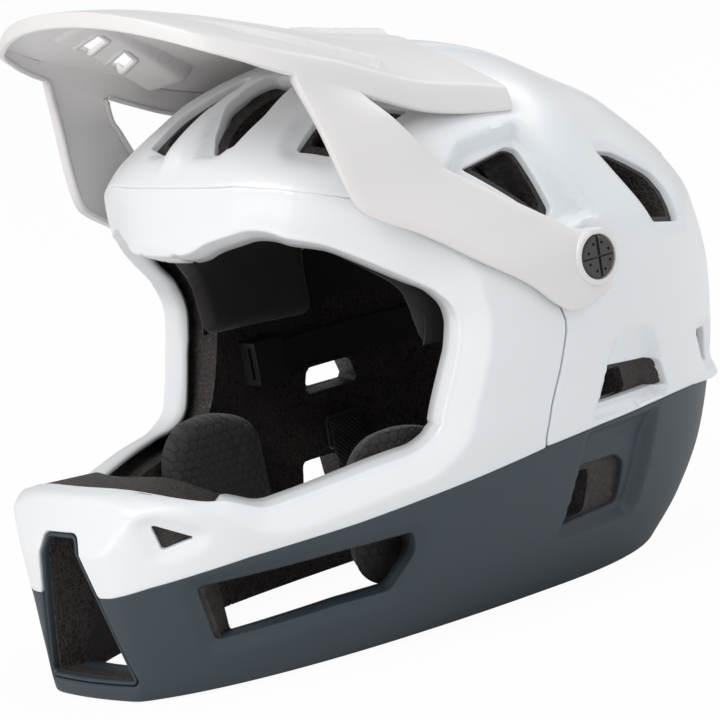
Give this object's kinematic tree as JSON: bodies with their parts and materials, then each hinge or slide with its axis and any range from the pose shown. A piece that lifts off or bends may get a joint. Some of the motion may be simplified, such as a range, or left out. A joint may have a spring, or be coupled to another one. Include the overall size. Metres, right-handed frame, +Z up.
{
  "type": "full face bicycle helmet",
  "caption": "Full face downhill bicycle helmet with a tilting visor, foam liners, pads, a dial fit band and a buckled chin strap.",
  "frame": {"origin": "middle of the helmet's bounding box at its foot, which stands on Z = 0", "axes": "+Z up, front of the helmet towards -Y, wearer's left towards +X"},
  "size_m": [0.2428, 0.3576, 0.288],
  "materials": {
    "shell_white": "satin painted shell",
    "shell_slate": "matt painted shell",
    "visor_grey": "satin moulded",
    "foam_dark": "expanded bead foam",
    "screw_grey": "moulded",
    "insert_brass": "turned",
    "rubber_black": "matt",
    "pad_fabric": "embossed knit",
    "plastic_black": "moulded",
    "steel_grey": "plated",
    "slip_grey": "smooth sheet",
    "tab_yellow": "smooth",
    "webbing_black": "woven webbing",
    "button_red": "moulded"
  },
  "bodies": {
    "shell": {"crown_shell": "shell_white", "face_frame": "shell_white", "jaw_shell": "shell_slate", "crown_liner": "foam_dark", "chin_liner": "foam_dark", "threaded_insert_left": "insert_brass", "threaded_insert_right": "insert_brass", "visor_washer_left": "rubber_black", "visor_washer_right": "rubber_black", "cheek_pad_left": "pad_fabric", "cheek_pad_right": "pad_fabric", "cheek_plate_left": "plastic_black", "cheek_plate_right": "plastic_black", "cheek_studs": "plastic_black", "cheek_sockets": "plastic_black", "strap_anchor_left": "steel_grey", "strap_anchor_right": "steel_grey", "slip_liner": "slip_grey", "slip_liner_tabs": "tab_yellow", "crown_pad": "pad_fabric", "forehead_pad": "pad_fabric", "nape_pad": "pad_fabric", "fit_guides": "plastic_black", "chin_strap_left": "webbing_black", "chin_strap_right": "webbing_black", "buckle_body": "plastic_black", "buckle_tongue": "plastic_black", "strap_keeper": "rubber_black"},
    "visor": {"visor": "visor_grey"},
    "screw_left": {"visor_screw_left": "screw_grey"},
    "screw_right": {"visor_screw_right": "screw_grey"},
    "fit_slider": {"fit_band": "plastic_black", "fit_cradle": "plastic_black", "dial_axle": "steel_grey"},
    "dial": {"fit_dial": "plastic_black"},
    "button": {"buckle_button": "button_red"}
  },
  "joints": [
    {"name": "visor_tilt", "type": "hinge", "parent": "shell", "child": "visor", "pos_m": [0, 0.04234, 0.147], "axis": [-1, 0, 0], "range_deg": [0, 15]},
    {"name": "screw_left_turn", "type": "hinge", "parent": "shell", "child": "screw_left", "pos_m": [0.12, 0.04234, 0.147], "axis": [1, 0, 0], "continuous": true},
    {"name": "screw_right_turn", "type": "hinge", "parent": "shell", "child": "screw_right", "pos_m": [-0.12, 0.04234, 0.147], "axis": [-1, 0, 0], "continuous": true},
    {"name": "fit_slide", "type": "slide", "parent": "shell", "child": "fit_slider", "axis": [0, -1, 0], "range_m": [0, 0.008]},
    {"name": "dial_turn", "type": "hinge", "parent": "fit_slider", "child": "dial", "pos_m": [0, 0.13794, 0.076], "axis": [0, 1, 0], "range_deg": [0, 540]},
    {"name": "button_press", "type": "slide", "parent": "shell", "child": "button", "axis": [0, 0, 1], "range_m": [0, 0.0015], "stiffness_N_per_m": 400}
  ],
  "couplings": [
    {"joint": "dial_turn", "follows": "fit_slide", "rad_per_m": 1178}
  ]
}
